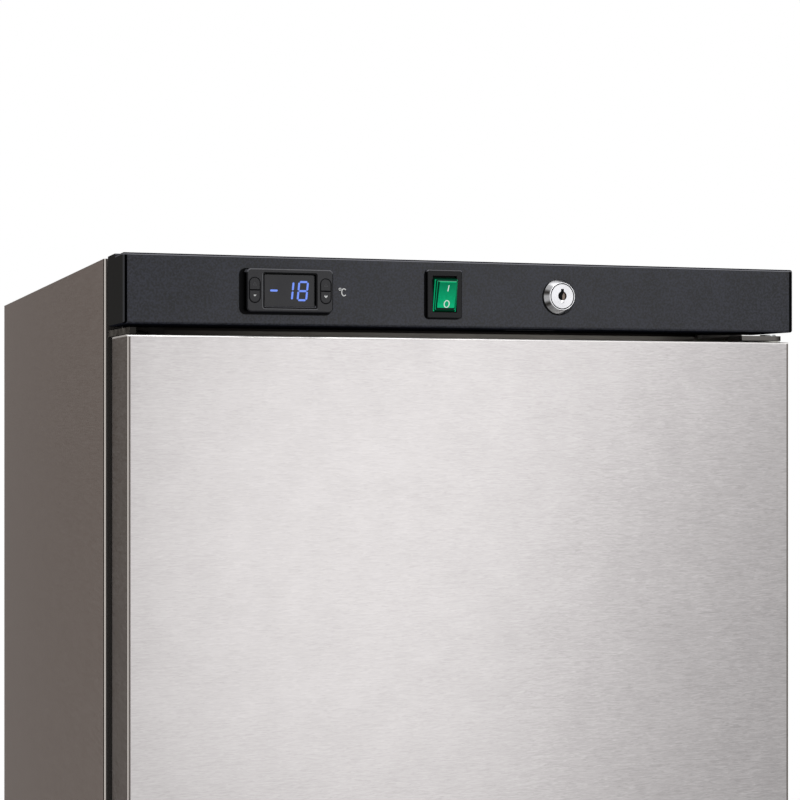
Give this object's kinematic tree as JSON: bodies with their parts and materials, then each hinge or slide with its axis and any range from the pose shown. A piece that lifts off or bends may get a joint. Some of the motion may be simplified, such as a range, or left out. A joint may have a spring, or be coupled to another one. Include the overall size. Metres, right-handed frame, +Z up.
{
  "type": "upright freezer cabinet",
  "caption": "Free-standing upright commercial freezer with one right-hinged steel door, a control panel with lock, switch and display, and refrigerated wire shelves.",
  "frame": {"origin": "on the floor, at the middle of the appliance's footprint", "axes": "+Z up, -Y towards the front with the door, +X towards the hinge side"},
  "size_m": [0.6, 0.7009, 1.85],
  "materials": {
    "stainless_steel": "satin",
    "side_steel": "satin",
    "galvanised_steel": "satin",
    "dark_steel": "matte",
    "bracket_steel": "satin",
    "black_abs": "matte",
    "black_gloss_plastic": "gloss",
    "display_filter": "gloss",
    "blue_light": "gloss",
    "green_lens": "gloss",
    "chrome_plate": "polished",
    "zinc_plate": "satin",
    "white_liner": "satin",
    "foam": "matte",
    "gasket_rubber": "matte",
    "black_rubber": "matte",
    "white_enamel": "satin",
    "black_enamel": "satin",
    "copper": "satin",
    "nylon": "matte"
  },
  "bodies": {
    "cabinet": {"side_panel_left": "side_steel", "side_panel_right": "side_steel", "top_panel": "side_steel", "rear_panel": "galvanised_steel", "machine_deck": "galvanised_steel", "base_frame": "galvanised_steel", "front_frame": "side_steel", "inner_liner": "white_liner", "insulation": "foam", "kick_plate": "stainless_steel", "hinge_bracket_top": "bracket_steel", "hinge_bracket_bottom": "bracket_steel", "support_bracket": "dark_steel", "hinge_bolts": "zinc_plate", "hinge_pins": "zinc_plate", "control_panel": "black_abs", "panel_carrier": "black_abs", "controller_bezel": "black_abs", "controller_body": "black_abs", "display_window": "display_filter", "display_digits": "blue_light", "switch_housing": "black_gloss_plastic", "lock_housing": "chrome_plate", "lock_nut": "zinc_plate", "shelf_decks": "white_enamel", "evaporator_coil": "white_enamel", "condenser_coil": "black_enamel", "condenser_wires": "black_enamel", "condenser_clips": "nylon", "compressor": "black_enamel", "compressor_grommets": "black_rubber", "compressor_bolts": "zinc_plate", "terminal_cover": "black_abs", "suction_tube": "copper", "discharge_tube": "copper", "filter_drier": "copper", "capillary_tube": "copper", "cable_gland": "black_rubber", "roller_brackets": "galvanised_steel"},
    "door": {"door_skin": "stainless_steel", "door_liner": "white_liner", "door_foam": "foam", "door_gasket": "gasket_rubber", "handle_cup": "black_abs", "hinge_bushes": "nylon", "lock_strike": "zinc_plate"},
    "rocker": {"rocker": "green_lens"},
    "key_left_upper": {"button_left_upper": "black_gloss_plastic"},
    "key_left_lower": {"button_left_lower": "black_gloss_plastic"},
    "key_right_upper": {"button_right_upper": "black_gloss_plastic"},
    "key_right_lower": {"button_right_lower": "black_gloss_plastic"},
    "lock": {"lock_plug": "chrome_plate", "lock_cam": "zinc_plate"},
    "foot_left": {"foot_left": "black_abs"},
    "foot_right": {"foot_right": "black_abs"},
    "roller_left": {"roller_left": "nylon"},
    "roller_right": {"roller_right": "nylon"}
  },
  "joints": [
    {"name": "door_hinge", "type": "hinge", "parent": "cabinet", "child": "door", "pos_m": [0.2836, -0.3313, 1], "axis": [0, 0, 1], "range_deg": [0, 110]},
    {"name": "rocker_tilt", "type": "hinge", "parent": "cabinet", "child": "rocker", "pos_m": [-0.0321, -0.33958, 1.8209], "axis": [-1, 0, 0], "range_deg": [0, 18]},
    {"name": "lock_turn", "type": "hinge", "parent": "cabinet", "child": "lock", "pos_m": [0.073, -0.3438, 1.8209], "axis": [0, -1, 0], "range_deg": [0, 90]},
    {"name": "press_left_upper", "type": "slide", "parent": "cabinet", "child": "key_left_upper", "axis": [0, 1, 0], "range_m": [0, 0.0008], "stiffness_N_per_m": 400},
    {"name": "press_left_lower", "type": "slide", "parent": "cabinet", "child": "key_left_lower", "axis": [0, 1, 0], "range_m": [0, 0.0008], "stiffness_N_per_m": 400},
    {"name": "press_right_upper", "type": "slide", "parent": "cabinet", "child": "key_right_upper", "axis": [0, 1, 0], "range_m": [0, 0.0008], "stiffness_N_per_m": 400},
    {"name": "press_right_lower", "type": "slide", "parent": "cabinet", "child": "key_right_lower", "axis": [0, 1, 0], "range_m": [0, 0.0008], "stiffness_N_per_m": 400},
    {"name": "foot_screw_left", "type": "slide", "parent": "cabinet", "child": "foot_left", "axis": [0, 0, 1], "range_m": [-0.015, 0]},
    {"name": "roller_spin_left", "type": "hinge", "parent": "cabinet", "child": "roller_left", "pos_m": [-0.24, 0.28, 0.0185], "axis": [1, 0, 0], "continuous": true},
    {"name": "foot_screw_right", "type": "slide", "parent": "cabinet", "child": "foot_right", "axis": [0, 0, 1], "range_m": [-0.015, 0]},
    {"name": "roller_spin_right", "type": "hinge", "parent": "cabinet", "child": "roller_right", "pos_m": [0.24, 0.28, 0.0185], "axis": [1, 0, 0], "continuous": true}
  ]
}
